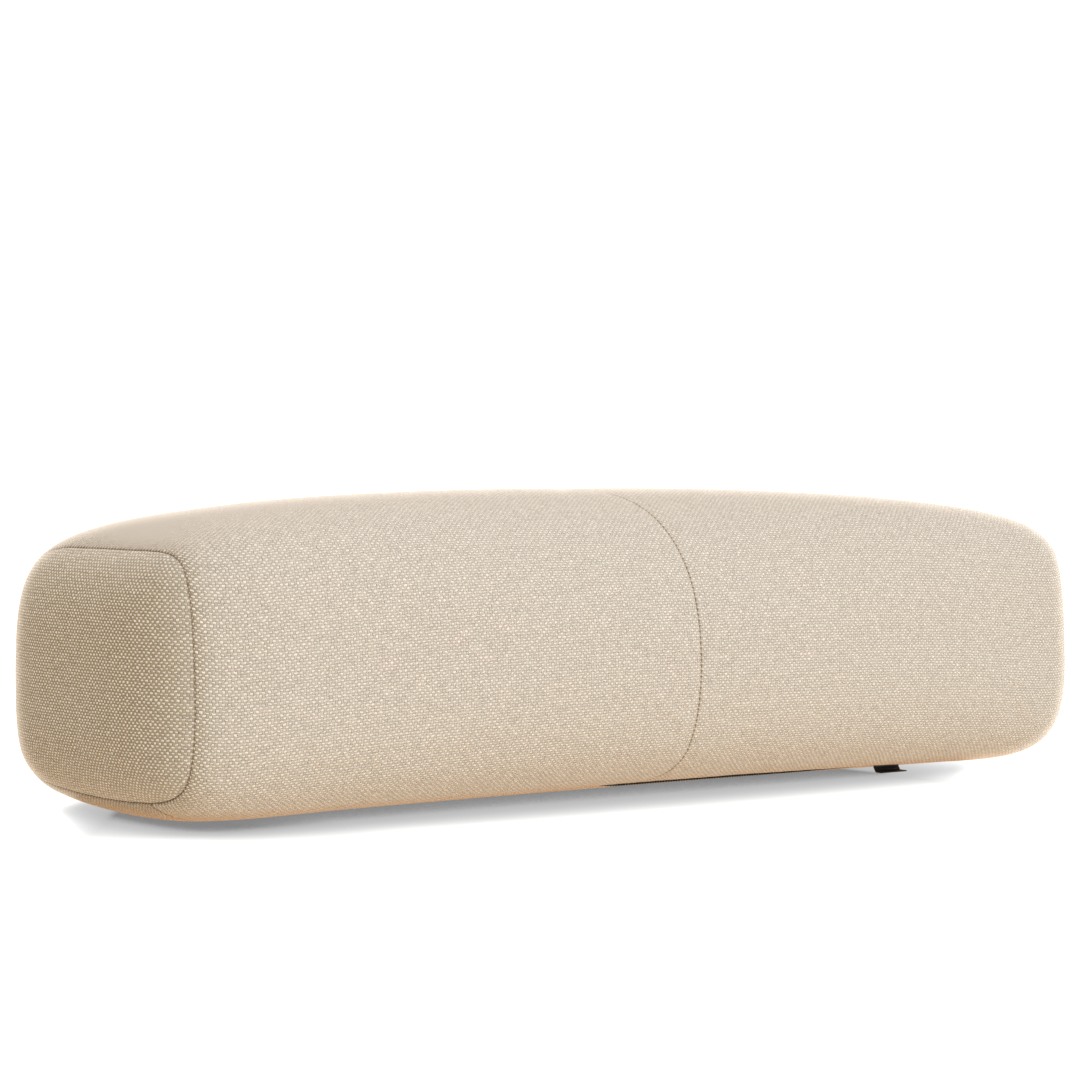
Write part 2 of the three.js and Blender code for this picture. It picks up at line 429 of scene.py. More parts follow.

# %% [markdown]
# ## Where the cloth looks different
# The filling stretches the wool tight on top and in front. On the panels, beside the end seams and where
# the cloth bends under, the weave's ground and gaps get painted shade. Painted shade also darkens the
# seams, and near the floor a painted warm bounce light tints the wool. A map could carry these, but it
# fits one size. Here each point of the mesh gets four numbers, and the material reads them.

# %% Mark the seams' shade, the painted weave shade and the painted bounce near the floor
SHADE_WIDTH = 1.0 * MM  # how far the shade of a seam reaches out of it
END_SEAM_SHADE_WIDTH = 9 * MM  # how far the painted weave shade beside an end seam reaches
UNSHADED_SHARE = 0.75  # from this share of the half length on, painted weave shade grows towards the ends
LOWER_BEND = (62 * MM, 18 * MM)  # between these heights the cloth bends under, and painted weave shade grows there
BOUNCE_HEIGHT = 17 * MM  # below this height a painted warm bounce light from the floor tints the cloth
SHADE_AT_ENDS = 0.25  # painted weave shade: 0 is none, 1 is as much as in the middle of a panel
SHADE_BELOW = 0.22
SHADE_AT_END_SEAMS = 0.5
LESS_SHADE_AT_RIM = 0.7  # how much less painted shade a panel has at its seam
RIM_POWER = 5


def beyond(values, first, last):
    """0 up to the first value, 1 from the last one on, and an even rise between them."""
    return np.clip((values - first) / (last - first), 0, 1)


def painted_weave_shade():
    """Painted shade for the weave's ground and gaps, at every point of the cover."""
    to_ends = np.minimum(*(np.abs(along_body - along_body[ring]) for ring in (LEFT_SEAM, RIGHT_SEAM)))
    share_along = np.abs(cover[..., 0]) / HALF_LENGTH
    # openness here holds how much painted weave shade a point gets
    openness = np.maximum(
        SHADE_AT_ENDS * beyond(share_along, UNSHADED_SHARE, 1) ** 2,
        SHADE_BELOW * beyond(cover[..., 2], *LOWER_BEND),
    )
    openness += SHADE_AT_END_SEAMS * np.exp(-(to_ends / END_SEAM_SHADE_WIDTH) ** 2)
    on_panel = 1 - LESS_SHADE_AT_RIM * sizes[:, None] ** RIM_POWER
    openness[:LEFT_SEAM + 1] = on_panel[::-1]
    openness[RIGHT_SEAM:] = on_panel
    return openness


def floor_light():
    """How much painted bounce light from the floor tints the cloth. The panels turn away from it."""
    near = beyond(drawn_in[..., 2], BOUNCE_HEIGHT, 0)
    near[:LEFT_SEAM] = near[RIGHT_SEAM + 1:] = 0
    return near


marks = {
    "InsideSeam": np.exp(-(np.minimum(to_girth, to_others) / SHADE_WIDTH) ** 2),
    "Stitched": np.where(to_girth < to_others, 1.0, 0.0),
    "PaintedWeaveShade": painted_weave_shade(),
    "NearFloor": floor_light(),
}
print("means of the marks:", {name: round(float(values.mean()), 3) for name, values in marks.items()})

# %% [markdown]
# ## The cloth's own measures
# A weave follows the cloth and not the room, so every corner of the mesh gets its place on the flat
# cloth, in metres: along the cushion from the girth seam, and round it from the front's waist. On an end
# panel the threads run level and upright. Blender can unwrap a mesh by itself, but this grid already
# knows the length of each of its steps, and so no thread is stretched.

# %% Measure the flat cloth
FRONT_COLUMN = int(np.argmin(np.abs(angles - math.pi - FULL_TURN)))


def wrap_map():
    """Places on the flat cloth of the two wraps."""
    u = along_body - along_body[MIDDLE_SEAM]
    v = around_body - around_body[:, FRONT_COLUMN:FRONT_COLUMN + 1]
    return np.stack([u, -v], -1)


def panel_map():
    """Places on the flat cloth of the panels. Their upright threads bow with the panel's sides."""
    height = cover[..., 2] - (END["top"] + END["under"]) / 2
    half_height = (END["top"] - END["under"]) / 2
    level = cover[..., 1] / (1 - END["side_bulge"] * (height / half_height) ** 2)
    return np.stack([level, height], -1)


wraps, panels = wrap_map(), panel_map()
right_size = np.ptp(wraps[MIDDLE_SEAM:RIGHT_SEAM + 1], axis=(0, 1))
print("the right wrap measures", np.round(right_size / MM).tolist(), "mm")

# %% [markdown]
# ## The four pieces of cloth
# The cover is cut from four pieces, so it is built as four meshes that meet in the seams' threads. One
# mesh would do for the picture, but then no panel could be given another cloth. Fans of faces close each
# mesh: out of sight inside a seam, or as the middle of a panel's dome.

# %% Build the pieces
def fan(start, middle, flat, flip):
    """Faces from a ring to a point in its middle, and the places of their corners on the flat cloth."""
    around = len(flat) - 1
    one, two = start + np.arange(around), start + np.arange(1, around + 1) % around
    faces = np.stack([np.full(around, middle), two, one], 1)
    places = np.stack([np.tile(flat.mean(0), (around, 1)), flat[1:], flat[:-1]], 1)
    order = [0, 2, 1] if flip else [0, 1, 2]
    return faces[:, order].tolist(), places[:, order]


def cloth_piece(name, first, last, flat, hidden):
    """One piece of the cover from ring first to ring last. Hidden fans lie inside a seam."""
    rings, part = drawn_in[first:last + 1, :-1], flat[first:last + 1]
    count, around = rings.shape[:2]
    corners = count * around
    quads = tube_faces(count, around)
    places = np.stack([part[:-1, :-1], part[:-1, 1:], part[1:, 1:], part[1:, :-1]], 2)
    first_fan, first_places = fan(0, corners, part[0], flip=False)
    last_fan, last_places = fan(corners - around, corners + 1, part[-1], flip=True)
    points = np.concatenate([rings.reshape(-1, 3), rings[[0, -1]].mean(1)])
    mesh = bpy.data.meshes.new(name)
    mesh.from_pydata(points, [], quads.tolist() + first_fan + last_fan)
    layer = mesh.uv_layers.new(name="Cloth")
    layer.data.foreach_set("uv", np.concatenate([p.ravel() for p in (places, first_places, last_places)]))
    for mark, values in marks.items():
        layer = mesh.attributes.new(mark, "FLOAT", "POINT")
        in_fans = [mark == "PaintedWeaveShade"] * 2
        layer.data.foreach_set("value", np.concatenate([values[first:last + 1, :-1].ravel(), in_fans]))
    smooth = np.ones(len(mesh.polygons), bool)
    smooth[len(quads):] = ~np.repeat(hidden, around)
    mesh.polygons.foreach_set("use_smooth", smooth)
    mesh.update()
    piece = bpy.data.objects.new(name, mesh)
    bpy.context.collection.objects.link(piece)
    return piece


pieces = [
    cloth_piece("left_panel", 0, LEFT_SEAM, panels, [False, True]),
    cloth_piece("left_wrap", LEFT_SEAM, MIDDLE_SEAM, wraps, [True, True]),
    cloth_piece("right_wrap", MIDDLE_SEAM, RIGHT_SEAM, wraps, [True, True]),
    cloth_piece("right_panel", RIGHT_SEAM, len(cover) - 1, panels, [True, False]),
]
for piece in pieces:
    print(piece.name, len(piece.data.polygons), "faces")

# %% [markdown]
# ## The woven wool
# The cover is a plain weave of thick wool: a cream weft that runs along the cushion and a tan warp round
# it, each over one and under one. The eye sees cream floats in staggered rows on a tan ground. An image
# could carry that, but a drawn weave stays sharp at any size. Two thread heights are compared at each
# point, and the higher thread gives its colour and its relief.

# %% Helpers for materials
def linear(hex_colour):
    """An sRGB hex colour as linear red, green, blue and full alpha."""
    parts = [int(hex_colour[i:i + 2], 16) / 255 for i in (1, 3, 5)]
    return [c / 12.92 if c <= 0.04045 else ((c + 0.055) / 1.055) ** 2.4 for c in parts] + [1.0]


NODE_FAMILIES = {"SHADER": "ShaderNode", "COMPOSITING": "CompositorNode"}


def add(tree, kind, inputs=None, **settings):
    """Adds a node with its settings. An input is a value, a socket, or a node, to take its first output."""
    made = tree.nodes.new(NODE_FAMILIES[tree.type] + kind)
    for name, value in settings.items():
        setattr(made, name, value)
    for socket, value in (inputs or {}).items():
        if isinstance(value, bpy.types.Node):
            value = value.outputs[0]
        if isinstance(value, bpy.types.NodeSocket):
            tree.links.new(value, made.inputs[socket])
        else:
            made.inputs[socket].default_value = value
    return made


def new_material(name):
    material = bpy.data.materials.new(name)
    material.use_nodes = True
    material.node_tree.nodes.clear()
    return material, material.node_tree


def finished(material, colour, height, depth, strength, settings):
    """Ends a material: its colour, the relief that a height gives it, and the shader's other settings."""
    tree = material.node_tree
    bump = add(tree, "Bump", {"Height": height, "Distance": depth, "Strength": strength})
    shader = add(tree, "BsdfPrincipled", {
        "Base Color": colour.outputs[2], "Normal": bump, **settings,
    })
    add(tree, "OutputMaterial", {0: shader})
    return material


print("mid grey as linear light:", round(linear("#808080")[0], 3))

# %% Count and raise the threads
WEFT_PITCH = 2.29 * MM  # from one weft thread to the next, round the girth
WARP_PITCH = 2.38 * MM  # from one warp thread to the next, along the cushion
WANDER = 2.0 * MM  # a thread strays from its line by up to half of this
WANDER_SCALE = 260  # bends in a metre of thread
CRIMP = 0.30  # how far a thread rises and sinks, as a share of the weave's relief
# Of each thread: the axes across and along it, over (1) or under (-1) at the start, how round it is, and
# its height. The weft is the rounder yarn and lies a little higher.
WEFT = (1, 0, 1, 0.85, 0.80)
WARP = (0, 1, -1, 0.35, 0.70)


def counted_threads(tree, place):
    """The place on the flat cloth, counted in threads that wander a little."""
    wander = add(tree, "TexNoise", {"Vector": place, "Scale": WANDER_SCALE, "Detail": 2},
                 noise_dimensions="2D")
    aside = add(tree, "VectorMath", {0: wander.outputs["Color"], 1: (0.5, 0.5, 0.5)}, operation="SUBTRACT")
    moved = add(tree, "VectorMath", {0: aside, 1: (WANDER,) * 3, 2: place}, operation="MULTIPLY_ADD")
    return add(tree, "VectorMath", {0: moved, 1: (1 / WARP_PITCH, 1 / WEFT_PITCH, 0)}, operation="MULTIPLY")


def thread_height(tree, counted, thread):
    """The height of the weft or of the warp, which goes over one thread and under one."""
    across, along, over, roundness, middle = thread
    number = add(tree, "Math", {0: counted.outputs[across]}, operation="FLOOR")
    inside = add(tree, "Math", {0: counted.outputs[across]}, operation="FRACT")
    off = add(tree, "Math", {0: inside, 1: 2.0, 2: -1.0}, operation="MULTIPLY_ADD")
    square = add(tree, "Math", {0: off, 1: off}, operation="MULTIPLY")
    phase = add(tree, "Math", {0: counted.outputs[along], 1: number}, operation="SUBTRACT")
    phase = add(tree, "Math", {0: phase, 1: math.pi, 2: -math.pi / 2}, operation="MULTIPLY_ADD")
    wave = add(tree, "Math", {0: phase}, operation="COSINE")
    lift = add(tree, "Math", {0: wave, 1: CRIMP * over, 2: middle}, operation="MULTIPLY_ADD")
    return add(tree, "Math", {0: square, 1: -roundness, 2: lift}, operation="MULTIPLY_ADD")


print("a thread every", WARP_PITCH / MM, "by", WEFT_PITCH / MM, "mm")

# %% [markdown]
# ## The yarns' colours
# The front looks cream and the panels browner, yet it is one wool. The browner look is painted shade:
# the ground and the gaps have a lit and a shaded colour each, and the mark of painted weave shade mixes
# them. A colour map could hold that, but it would fit one size only. No yarn is even, so each float is a
# little lighter or darker than the next.

# %% Colour the yarns
CREAM_WEFT = "#EFE6D4"
TAN_WARP = "#D3C8B1"
# The colours between the threads are painted shade in the weave's hollows, lighter and deeper.
GAP_SHADE = "#79664A"
SHADED_GROUND = "#A5926F"
DEEPER_GAP_SHADE = "#644F36"
# Heights are shares of the weave's relief, and a thread's pitch is the unit of length.
GAP_SHIFT = 0.08  # the gap lies a little on the warp's side
GAP_REACH = 0.3  # difference of height up to which neither thread is clearly on top
GAP_DARKNESS = 1.3  # above 1, so that the middle of a gap is dark all over
LINT = (0.1, 0.9)  # how much of a gap's darkness is left, where fibres bridge it and where they don't
YARN_PATCHES = 0.35  # changes of the yarn's tone in one pitch
YARN_TONES = (0.95, 1.05)
FLOAT_TONES = (0.92, 1.04)


def yarn_colour(tree, threads, fibres, lead, on_top):
    """The colour of the thread on top, with painted shade in the gaps beside it. The lead is how much higher
    the weft is.
    """
    # loose is the painted weave shade mark: it mixes in the shaded ground and the deeper gap shade
    loose = add(tree, "Attribute", attribute_name="PaintedWeaveShade").outputs["Fac"]
    ground = add(tree, "Mix", {0: loose, 6: linear(TAN_WARP), 7: linear(SHADED_GROUND)}, data_type="RGBA")
    yarns = add(tree, "Mix", {0: on_top, 6: ground.outputs[2], 7: linear(CREAM_WEFT)}, data_type="RGBA")
    # The gaps lie where neither thread is clearly on top, and get painted shade. Fibres bridge them here and
    # there.
    aside = add(tree, "Math", {0: lead, 1: GAP_SHIFT}, operation="ADD")
    aside = add(tree, "Math", {0: aside}, operation="ABSOLUTE")
    outline = add(tree, "MapRange", {0: aside, 1: GAP_REACH, 2: 0.0, 3: 0.0, 4: GAP_DARKNESS})
    blotch = add(tree, "MapRange", {0: fibres, 1: 0.65, 2: 0.35, 3: LINT[0], 4: LINT[1]})
    gap = add(tree, "Math", {0: outline, 1: blotch}, operation="MULTIPLY", use_clamp=True)
    between = add(tree, "Mix", {0: loose, 6: linear(GAP_SHADE), 7: linear(DEEPER_GAP_SHADE)}, data_type="RGBA")
    pitted = add(tree, "Mix", {0: gap, 6: yarns.outputs[2], 7: between.outputs[2]}, data_type="RGBA")
    # Each float has its own tone, and so has each stretch of yarn.
    crossing = add(tree, "VectorMath", {0: threads}, operation="FLOOR")
    each = add(tree, "TexWhiteNoise", {"Vector": crossing}, noise_dimensions="2D")
    patches = add(tree, "TexNoise", {"Vector": threads, "Scale": YARN_PATCHES, "Detail": 4},
                  noise_dimensions="2D")
    spot = add(tree, "MapRange", {0: each, 3: FLOAT_TONES[0], 4: FLOAT_TONES[1]})
    tint = add(tree, "MapRange", {0: patches, 1: 0.3, 2: 0.7, 3: YARN_TONES[0], 4: YARN_TONES[1]})
    both = add(tree, "Math", {0: spot, 1: tint}, operation="MULTIPLY")
    return add(tree, "VectorMath", {0: pitted.outputs[2], "Scale": both}, operation="SCALE")


# the last colour is the ground under painted weave shade
print("yarns:", CREAM_WEFT, "on", TAN_WARP, "or, where it stands open, on", SHADED_GROUND)

# %% Paint shade into the seams and bounce light onto the cloth near the floor
SEAM_SHADE = "#6A4A1C"
GIRTH_SHADE = "#92744F"
BOUNCED_TWICE = "#FFC87C"  # painted bounce light: the wool's colour on light that has met wool before
STITCH_EDGE = (0.5, -0.3)  # from open to closed, on a wave that goes from 1 to -1 and back in two threads
STITCH_CLOSES = 0.85
CREAM_SHADE = 0.60  # how dark the seam's shade is on the cream yarn
TAN_SHADE = 0.95


def shaded_seams(tree, counted, on_top, colour):
    """The colour with the seams' shade. On the girth seam the stitches close it at every other thread."""
    seam = add(tree, "Attribute", attribute_name="InsideSeam").outputs["Fac"]
    stitched = add(tree, "Attribute", attribute_name="Stitched").outputs["Fac"]
    turn = add(tree, "Math", {0: counted.outputs[1], 1: math.pi}, operation="MULTIPLY")
    turn = add(tree, "Math", {0: turn}, operation="COSINE")
    closed = add(tree, "MapRange", {0: turn, 1: STITCH_EDGE[0], 2: STITCH_EDGE[1], 4: STITCH_CLOSES},
                 interpolation_type="SMOOTHSTEP")
    closed = add(tree, "Math", {0: closed, 1: stitched}, operation="MULTIPLY")
    opened = add(tree, "Math", {0: 1.0, 1: closed}, operation="SUBTRACT")
    under = add(tree, "Math", {0: on_top, 1: CREAM_SHADE - TAN_SHADE, 2: TAN_SHADE},
                operation="MULTIPLY_ADD")
    dark = add(tree, "Math", {0: seam, 1: opened}, operation="MULTIPLY")
    dark = add(tree, "Math", {0: dark, 1: under}, operation="MULTIPLY")
    shade = add(tree, "Mix", {0: stitched, 6: linear(SEAM_SHADE), 7: linear(GIRTH_SHADE)}, data_type="RGBA")
    return add(tree, "Mix", {0: dark, 6: colour, 7: shade.outputs[2]}, data_type="RGBA")


def lit_by_floor(tree, colour):
    """The colour near the floor, tinted by painted bounce light that has met the wool twice."""
    near = add(tree, "Attribute", attribute_name="NearFloor").outputs["Fac"]
    return add(tree, "Mix", {0: near, 6: colour, 7: linear(BOUNCED_TWICE)},
               data_type="RGBA", blend_type="MULTIPLY")


print("the seams' shade:", SEAM_SHADE, "and on the girth", GIRTH_SHADE)

# %% Weave the wool
THREAD_RELIEF = 0.95 * MM
CREAM_TAKES_OVER = (-0.12, 0.5)  # from pure tan to pure cream, as the weft's lead in height
FIBRE_SCALE = 1.3  # bends of the fibres in one pitch
FUZZ = 0.3  # how much the fibres roughen the relief
SHEEN = "#FFF6E6"


def woven_wool():
    """Plain-woven wool: matt beads of cream on tan, and loose fibres that catch a soft sheen."""
    material, tree = new_material("wool_plain_weave")
    place = add(tree, "UVMap", uv_map="Cloth")
    threads = counted_threads(tree, place)
    counted = add(tree, "SeparateXYZ", {0: threads})
    weft, warp = (thread_height(tree, counted, thread) for thread in (WEFT, WARP))
    height = add(tree, "Math", {0: weft, 1: warp, 2: 0.05}, operation="SMOOTH_MAX")
    lead = add(tree, "Math", {0: weft, 1: warp}, operation="SUBTRACT")
    on_top = add(tree, "MapRange", {0: lead, 1: CREAM_TAKES_OVER[0], 2: CREAM_TAKES_OVER[1]},
                 interpolation_type="SMOOTHSTEP")
    rough = {"Vector": threads, "Scale": FIBRE_SCALE, "Detail": 3, "Roughness": 0.7}
    fibres = add(tree, "TexNoise", rough, noise_dimensions="2D")
    colour = yarn_colour(tree, threads, fibres, lead, on_top)
    colour = shaded_seams(tree, counted, on_top, colour)
    colour = lit_by_floor(tree, colour.outputs[2])
    uneven = add(tree, "Math", {0: fibres, 1: FUZZ, 2: height}, operation="MULTIPLY_ADD")
    return finished(material, colour, uneven, THREAD_RELIEF, 1.0, {
        "Roughness": 0.92, "Specular IOR Level": 0.2,
        "Sheen Weight": 0.4, "Sheen Roughness": 0.3, "Sheen Tint": linear(SHEEN),
    })


wool = woven_wool()
for piece in pieces:
    piece.data.materials.append(wool)
print("the wool has", len(wool.node_tree.nodes), "nodes")

# %% [markdown]
# ## The zip
# Only a few millimetres of the zip show in the closing seam: a chain of black nylon teeth on a woven
# tape, between two lips of the cloth. A bumped strip would look right from afar, but the teeth stand out
# against the pale floor, so each tooth is a small solid. They sit in two rows, half a step apart, and
# reach a little past the middle, as closed teeth do. The slider doesn't show.

# %% Find the closing seam
SINKS_BY = 1.7 * MM  # how much deeper the zip lies at its ends
SINKS_OVER = (30 * MM, 130 * MM)  # how long its left and its right end take to sink


def seam_frames(x):
    """Points of the closing seam at places along it, the way out of the cloth, and the way to the front."""
    share = np.asarray(x) / HALF_LENGTH
    small = math.radians(0.5)
    point = section(share, CLOSING_SEAM_ANGLE)
    front = section(share, CLOSING_SEAM_ANGLE - small) - section(share, CLOSING_SEAM_ANGLE + small)
    front /= np.linalg.norm(front, axis=-1, keepdims=True)
    out = np.stack([0 * front[..., 0], front[..., 2], -front[..., 1]], -1)
    out *= -np.sign(out[..., 2:])
    return point, out, front


def from_zip_line(x, front_by, out_by):
    """Points beside the zip's line, at distances to the front and out. The line sinks in at its ends."""
    point, out, front = seam_frames(x)
    left = np.clip(1 - (x - ZIP_FROM) / SINKS_OVER[0], 0, 1) ** 2
    right = np.clip(1 - (ZIP_TO - x) / SINKS_OVER[1], 0, 1) ** 2
    out_by = out_by - SINKS_BY * np.maximum(left, right)
    return point + front * front_by[..., None] + out * out_by[..., None]


def new_piece(name, points, faces):
    mesh = bpy.data.meshes.new(name)
    mesh.from_pydata([tuple(p) for p in points], [], faces)
    mesh.polygons.foreach_set("use_smooth", [True] * len(faces))
    mesh.update()
    piece = bpy.data.objects.new(name, mesh)
    bpy.context.collection.objects.link(piece)
    return piece


def ribbon(name, rows, thickness):
    """A thin piece along rows of points, with half of its thickness to either side."""
    count, width = rows.shape[:2]
    faces = [
        (i * width + j, i * width + j + 1, (i + 1) * width + j + 1, (i + 1) * width + j)
        for i in range(count - 1) for j in range(width - 1)
    ]
    piece = new_piece(name, rows.reshape(-1, 3), faces)
    solid = piece.modifiers.new("thickness", "SOLIDIFY")
    solid.thickness, solid.offset = thickness, 0
    return piece


print("in the middle the closing seam lies", round(float(seam_frames(0.0)[0][2]) / MM, 1), "mm high")

# %% Make the zip's teeth
TOOTH_STEP = 2.8 * MM
TOOTH_LONG = 2.8 * MM  # across the zip
TOOTH_PAST = 0.6 * MM  # how much of it reaches past the zip's middle
TOOTH_WIDE = 1.45 * MM
TOOTH_LOW, TOOTH_HIGH = -1.1 * MM, 0.7 * MM
TOOTH_TIP = 0.35  # how thick it still is at its ends
TOOTH_SIDES, TOOTH_RINGS = 10, 7


def tooth(x, side):
    """A rounded bar across the zip, as rings of points from one end to the other."""
    t = np.linspace(-1, 1, TOOTH_RINGS)
    bulge = (1 - np.abs(t) ** 4) ** 0.5
    bulge[[0, -1]] = TOOTH_TIP
    turn = np.arange(TOOTH_SIDES) * FULL_TURN / TOOTH_SIDES
    half_high = (TOOTH_HIGH - TOOTH_LOW) / 2
    across = side * ((t + 1) / 2 * TOOTH_LONG - TOOTH_PAST)
    along = x + bulge[:, None] * np.cos(turn) * TOOTH_WIDE / 2
    out = (TOOTH_LOW + TOOTH_HIGH) / 2 + bulge[:, None] * np.sin(turn) * half_high
    return from_zip_line(along, across[:, None] + 0 * along, out)


def tube(start, rings, around, flip):
    """Faces of a closed tube: its sides and a face at each end."""
    faces = (start + tube_faces(rings, around)).tolist()
    first = [start + c for c in range(around)]
    last = [start + (rings - 1) * around + c for c in range(around)]
    faces += [first[::-1], last]
    return [face[::-1] for face in faces] if flip else faces


def make_zip_chain():
    points, faces = [], []
    count = int((ZIP_TO - ZIP_FROM) / TOOTH_STEP)
    for i in range(count):
        for side, shift in ((1, 0.25), (-1, 0.75)):
            faces += tube(len(points), TOOTH_RINGS, TOOTH_SIDES, flip=side > 0)
            points += list(tooth(ZIP_FROM + (i + shift) * TOOTH_STEP, side).reshape(-1, 3))
    print("zip:", 2 * count, "teeth")
    return new_piece("zip_chain", points, faces)


zip_chain = make_zip_chain()

# %% Line the gap with the zip's tape
TAPE_THICKNESS = 0.5 * MM
TAPE_STATIONS = 120
# Points across the tape, to the front and out: level under the chain, and tucked under both lips
TAPE_PROFILE = np.array([
    (-5.4, -3.2), (-2.9, -1.5), (-2.2, -1.2), (2.2, -1.2), (2.9, -1.5), (5.4, -3.2),
]) * MM

x = np.linspace(ZIP_FROM, ZIP_TO, TAPE_STATIONS)
rows = [from_zip_line(x, np.full(len(x), front), np.full(len(x), out)) for front, out in TAPE_PROFILE]
zip_tape = ribbon("zip_tape", np.stack(rows, 1), TAPE_THICKNESS)

# %% [markdown]
# ## The label
# The label is a strip of black satin ribbon, folded in two and caught in the closing seam by its ends.
# It could be a flat card, but a folded ribbon shows its round fold and two layers at the side. It comes
# straight down out of the seam, leans forward, and its fold lies on the floor. Its face is left bare.

# %% Fold the label
LABEL_FROM, LABEL_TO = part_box("label")[0].x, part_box("label")[1].x
LABEL_DROP = 13 * MM  # from the seam to the fold, measured along the ribbon
LABEL_LAYER = 0.4 * MM
LABEL_GAP = 0.25 * MM  # between its two layers
LABEL_ROOT = 1.2 * MM  # how far its ends reach up into the seam
LABEL_BEND = 2.0 * MM  # radius of its bends
LABEL_LEAN = math.radians(33)  # how far forward it leans on its way down
LABEL_LIES = 0.9 * MM  # height of its middle where it lies on the floor
LABEL_POINTS = 48  # along the ribbon
FOLD_POINTS = 9
LABEL_STATIONS = 25  # across it


def label_layers(height):
    """The folded ribbon seen from its side, as ways forward and down from the seam, from end to end."""
    leaning = (height - LABEL_BEND) / math.cos(LABEL_LEAN)
    parts = [LABEL_ROOT, LABEL_BEND * LABEL_LEAN, leaning, LABEL_BEND * (math.pi / 2 - LABEL_LEAN)]
    places = np.append(np.cumsum([-LABEL_ROOT, *parts]), LABEL_DROP)
    along = np.linspace(-LABEL_ROOT, LABEL_DROP, LABEL_POINTS)
    slope = np.interp(along, places, [0, 0, LABEL_LEAN, LABEL_LEAN, math.pi / 2, math.pi / 2])
    halfway = (slope[1:] + slope[:-1]) / 2
    steps = np.stack([np.sin(halfway), np.cos(halfway)], 1) * np.diff(along)[:, None]
    line = np.concatenate([np.zeros((1, 2)), np.cumsum(steps, axis=0)]) - [0, LABEL_ROOT]
    reach = (LABEL_LAYER + LABEL_GAP) / 2
    aside = np.stack([np.cos(slope), -np.sin(slope)], 1) * reach
    round_fold = np.linspace(0, math.pi, FOLD_POINTS)[1:-1]
    fold = line[-1] + reach * np.stack([np.sin(round_fold), -np.cos(round_fold)], 1)
    return np.concatenate([line + aside, fold, (line - aside)[::-1]])


def make_label():
    rows = []
    for x in np.linspace(LABEL_FROM, LABEL_TO, LABEL_STATIONS):
        root = seam_frames(x)[0]
        forward, down = label_layers(root[2] - LABEL_LIES).T
        rows.append(root + np.stack([0 * down, -forward, -down], 1))
    return ribbon("label_tab", np.array(rows), LABEL_LAYER)


label_tab = make_label()
print("the label is", round((LABEL_TO - LABEL_FROM) / MM, 1), "mm wide")

# %% [markdown]
# ## The black parts
# All three are black, but they take the light differently: the teeth are moulded nylon with a dull skin,
# the tape is a fine polyester weave that swallows light, and the label is satin, whose long floats shine
# along the ribbon. Flat black would make them one blot. Their threads are too fine to show from here, so
# they are drawn about twice as coarse as real ones.

# %% Make the black materials
NYLON_BLACK, NYLON_WORN = "#191817", "#26241F"
TAPE_BLACK, TAPE_THREAD = "#141414", "#232220"
SATIN_BLACK, SATIN_FLOAT = "#121213", "#202023"
TAPE_PITCH = 0.7 * MM
SATIN_PITCH = 0.6 * MM
NYLON_GRAIN = 900  # bumps in a metre
NYLON_ROUGHNESS = (0.36, 0.56)
SATIN_PATCHES = 350  # changes of its tone in a metre


def ribs(tree, place, axis, pitch):
    """Round threads side by side along an axis: 0 between two threads, 1 on top of one."""
    split = add(tree, "SeparateXYZ", {0: place})
    turn = add(tree, "Math", {0: split.outputs[axis], 1: FULL_TURN / pitch}, operation="MULTIPLY")
    wave = add(tree, "Math", {0: turn}, operation="COSINE")
    return add(tree, "Math", {0: wave, 1: 0.5, 2: 0.5}, operation="MULTIPLY_ADD")


def moulded_nylon():
    """Black nylon from the mould: a dull skin with a faint grain."""
    material, tree = new_material("moulded_nylon")
    place = add(tree, "TexCoord").outputs["Object"]
    grain = add(tree, "TexNoise", {"Vector": place, "Scale": NYLON_GRAIN, "Detail": 3})
    colour = add(tree, "Mix", {0: grain, 6: linear(NYLON_BLACK), 7: linear(NYLON_WORN)}, data_type="RGBA")
    dull = add(tree, "MapRange", {0: grain, 3: NYLON_ROUGHNESS[0], 4: NYLON_ROUGHNESS[1]})
    return finished(material, colour, grain, 0.05 * MM, 0.6, {"Roughness": dull, "IOR": 1.53})


def woven_polyester():
    """Black polyester tape in a fine plain weave: hardly any shine."""
    material, tree = new_material("woven_polyester")
    place = add(tree, "TexCoord").outputs["Object"]
    along, across = ribs(tree, place, 0, TAPE_PITCH), ribs(tree, place, 1, TAPE_PITCH)
    weave = add(tree, "Math", {0: along, 1: across}, operation="MULTIPLY")
    colour = add(tree, "Mix", {0: weave, 6: linear(TAPE_BLACK), 7: linear(TAPE_THREAD)}, data_type="RGBA")
    settings = {"Roughness": 0.8, "IOR": 1.57, "Sheen Weight": 0.1}
    return finished(material, colour, weave, 0.12 * MM, 0.8, settings)


def satin_ribbon():
    """Black satin ribbon: long floats side by side, with a soft shine."""
    material, tree = new_material("satin_ribbon")
    place = add(tree, "TexCoord").outputs["Object"]
    floats = ribs(tree, place, 0, SATIN_PITCH)
    uneven = add(tree, "TexNoise", {"Vector": place, "Scale": SATIN_PATCHES, "Detail": 3})
    thread = add(tree, "Math", {0: floats, 1: uneven}, operation="MULTIPLY")
    colour = add(tree, "Mix", {0: thread, 6: linear(SATIN_BLACK), 7: linear(SATIN_FLOAT)}, data_type="RGBA")
    settings = {"Roughness": 0.5, "IOR": 1.55, "Specular IOR Level": 0.35}
    return finished(material, colour, floats, 0.08 * MM, 0.5, settings)


zip_chain.data.materials.append(moulded_nylon())
zip_tape.data.materials.append(woven_polyester())
label_tab.data.materials.append(satin_ribbon())
print("black materials:", [m.name for m in bpy.data.materials])

